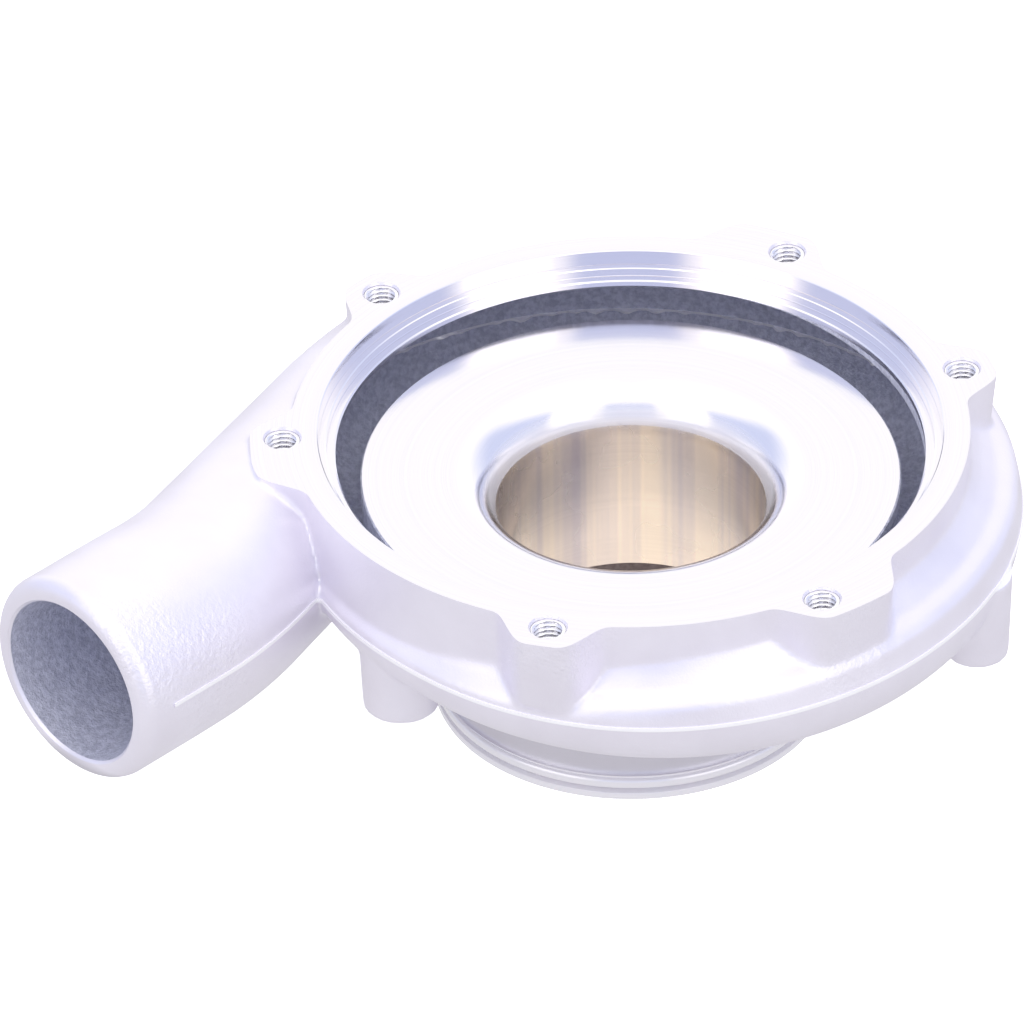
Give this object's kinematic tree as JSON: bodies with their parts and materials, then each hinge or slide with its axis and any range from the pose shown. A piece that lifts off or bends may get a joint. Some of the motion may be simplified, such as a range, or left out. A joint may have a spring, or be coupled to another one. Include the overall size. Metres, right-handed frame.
{
  "type": "compressor cover",
  "caption": "Cast compressor cover with a bolting flange, a stepped register bore, a volute, an angled discharge spigot and an inlet snout.",
  "frame": {"origin": "on the plane that the inlet snout's end rests on, under the middle of the bounding box", "axes": "+Z along the compressor axis, from the inlet snout to the bolting flange; the discharge spigot points towards -X and -Y"},
  "size_m": [0.2476, 0.1899, 0.0761],
  "materials": {
    "cast_alloy": "as cast, with turned faces and bores",
    "insert_steel": "satin"
  },
  "bodies": {
    "root": {"volute_cover": "cast_alloy", "thread_insert_1": "insert_steel", "thread_insert_2": "insert_steel", "thread_insert_3": "insert_steel", "thread_insert_4": "insert_steel", "thread_insert_5": "insert_steel", "thread_insert_6": "insert_steel"}
  },
  "joints": []
}
